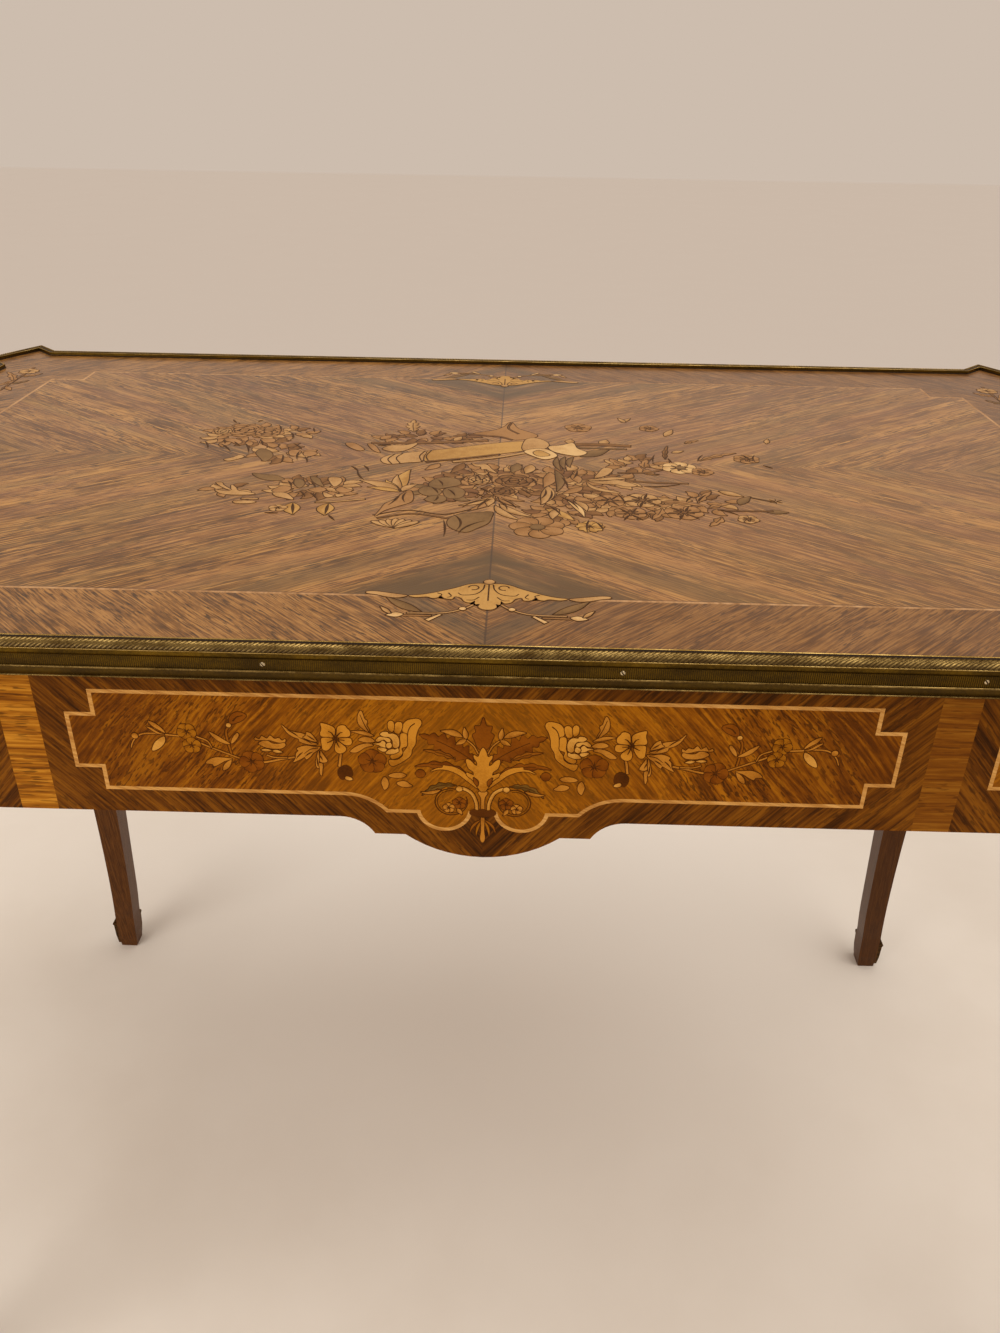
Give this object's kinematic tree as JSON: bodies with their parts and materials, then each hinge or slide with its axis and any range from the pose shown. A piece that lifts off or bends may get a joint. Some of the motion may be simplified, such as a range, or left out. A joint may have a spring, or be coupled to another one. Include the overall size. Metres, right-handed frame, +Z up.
{
  "type": "writing table",
  "caption": "Marquetry writing table with a brass-edged top, canted corners, shaped frieze, slender cabriole legs and drawers that slide out of one long side.",
  "frame": {"origin": "on the floor under the centre of the table", "axes": "+X along the length, +Y from the pictured show side towards the drawer side, +Z up"},
  "size_m": [1.021, 0.656, 0.77],
  "materials": {
    "top_veneer": "kingwood veneer, french polished, satin",
    "crossbanding": "dark kingwood crossbanding, french polished",
    "panel_veneer": "golden tulipwood veneer, french polished",
    "stringing": "light boxwood string, french polished",
    "light_band": "golden cross-grained satinwood, french polished",
    "leg_wood": "dark stained solid wood, waxed",
    "carcase_oak": "plain oak, unpolished",
    "rim_brass": "aged olive-brown brass with rubbed highlights",
    "sabot_bronze": "dark patinated bronze",
    "lock_brass": "worn brass",
    "screw_steel": "dull steel"
  },
  "bodies": {
    "table": {"divider_bands": "light_band", "drawer_bottom_rail": "carcase_oak", "drawer_divider_left": "carcase_oak", "drawer_divider_right": "carcase_oak", "drawer_kickers": "carcase_oak", "drawer_top_rail": "carcase_oak", "end_runners": "carcase_oak", "front_frieze_bands": "light_band", "front_frieze_board": "carcase_oak", "front_frieze_crossbanding": "crossbanding", "front_frieze_panels": "panel_veneer", "front_frieze_stringing": "stringing", "glue_blocks": "carcase_oak", "left_frieze_board": "carcase_oak", "left_frieze_stringing": "stringing", "left_frieze_veneer": "panel_veneer", "leg_back_left": "leg_wood", "leg_back_right": "leg_wood", "leg_front_left": "leg_wood", "leg_front_right": "leg_wood", "middle_runners": "carcase_oak", "right_frieze_board": "carcase_oak", "right_frieze_stringing": "stringing", "right_frieze_veneer": "panel_veneer", "rim_back": "rim_brass", "rim_corners": "rim_brass", "rim_front": "rim_brass", "rim_left": "rim_brass", "rim_pins": "rim_brass", "rim_right": "rim_brass", "sabot_back_left": "sabot_bronze", "sabot_back_right": "sabot_bronze", "sabot_front_left": "sabot_bronze", "sabot_front_right": "sabot_bronze", "top_board": "carcase_oak", "top_crossbanding": "crossbanding", "top_field_veneer": "top_veneer", "top_screws": "screw_steel", "top_stringing": "stringing"},
    "left_drawer": {"left_drawer_front": "carcase_oak", "left_drawer_sides": "carcase_oak", "left_drawer_back": "carcase_oak", "left_drawer_bottom": "carcase_oak", "left_drawer_veneer": "panel_veneer", "left_drawer_lock": "lock_brass", "left_drawer_escutcheon": "lock_brass"},
    "centre_drawer": {"centre_drawer_front": "carcase_oak", "centre_drawer_sides": "carcase_oak", "centre_drawer_back": "carcase_oak", "centre_drawer_bottom": "carcase_oak", "centre_drawer_veneer": "panel_veneer", "centre_drawer_lock": "lock_brass", "centre_drawer_escutcheon": "lock_brass"},
    "right_drawer": {"right_drawer_front": "carcase_oak", "right_drawer_sides": "carcase_oak", "right_drawer_back": "carcase_oak", "right_drawer_bottom": "carcase_oak", "right_drawer_veneer": "panel_veneer", "right_drawer_lock": "lock_brass", "right_drawer_escutcheon": "lock_brass"}
  },
  "joints": [
    {"name": "left_drawer_slide", "type": "slide", "parent": "table", "child": "left_drawer", "axis": [0, 1, 0], "range_m": [0, 0.36]},
    {"name": "centre_drawer_slide", "type": "slide", "parent": "table", "child": "centre_drawer", "axis": [0, 1, 0], "range_m": [0, 0.36]},
    {"name": "right_drawer_slide", "type": "slide", "parent": "table", "child": "right_drawer", "axis": [0, 1, 0], "range_m": [0, 0.36]}
  ]
}
